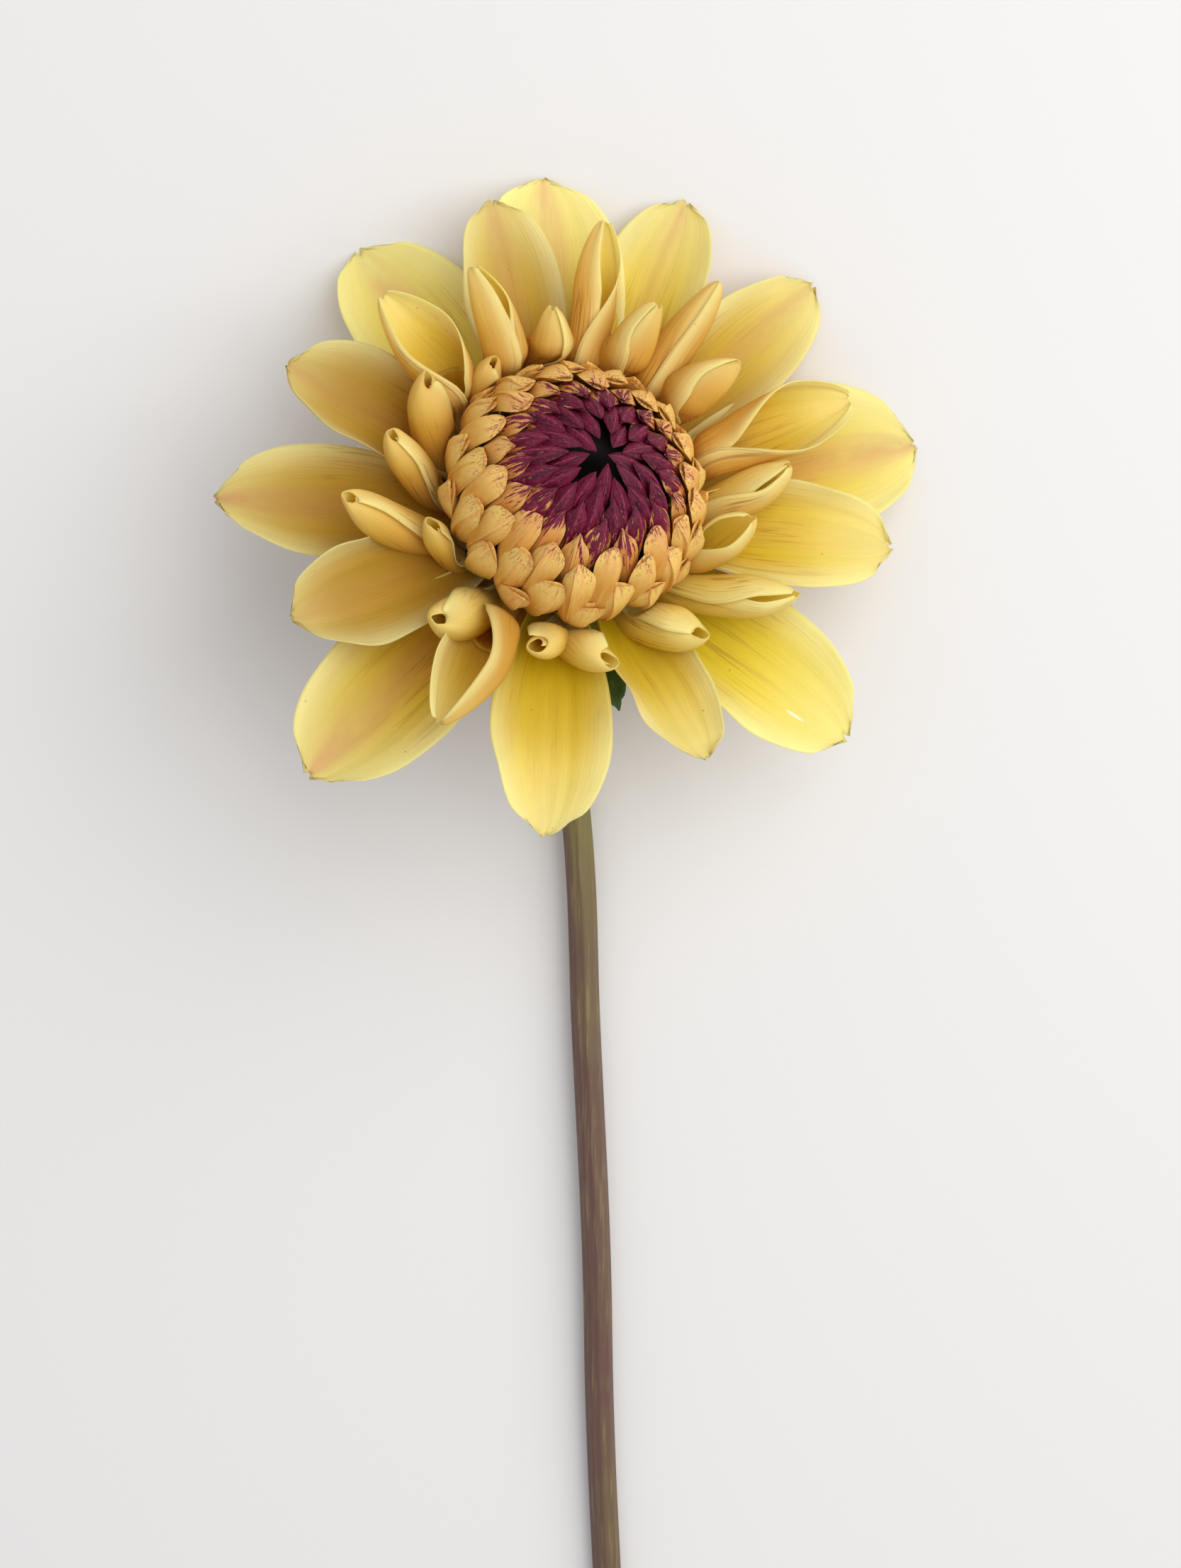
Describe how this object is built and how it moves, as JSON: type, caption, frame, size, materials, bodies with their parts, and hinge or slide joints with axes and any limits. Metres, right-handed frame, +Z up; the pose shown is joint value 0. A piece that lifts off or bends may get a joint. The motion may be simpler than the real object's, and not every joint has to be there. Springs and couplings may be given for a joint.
{
  "type": "dahlia flower",
  "caption": "Cut half-open dahlia lying down: broad and rolled yellow petals round a domed bud of unopened florets, bracts behind, long bare stem.",
  "frame": {"origin": "middle of the underside of the part's bounding box, on the surface it lies on", "axes": "+Z up from the surface, +Y along the stem from its cut end towards the bloom, +X to the right as seen from above"},
  "size_m": [0.1108, 0.2794, 0.0503],
  "materials": {
    "petal": "soft matt petal, pale lemon yellow with apricot towards its base",
    "floret_amber": "soft satin, amber with purple specks",
    "floret_purple": "soft satin, dark purple",
    "bract_papery": "thin papery yellow green",
    "bract_green": "matt leaf green",
    "stem": "matt olive green to purple brown, finely ribbed"
  },
  "bodies": {
    "root": {"ray_petals": "petal", "bud_florets": "floret_amber", "heart_florets": "floret_purple", "inner_bracts": "bract_papery", "outer_bracts": "bract_green", "stem": "stem"}
  },
  "joints": []
}
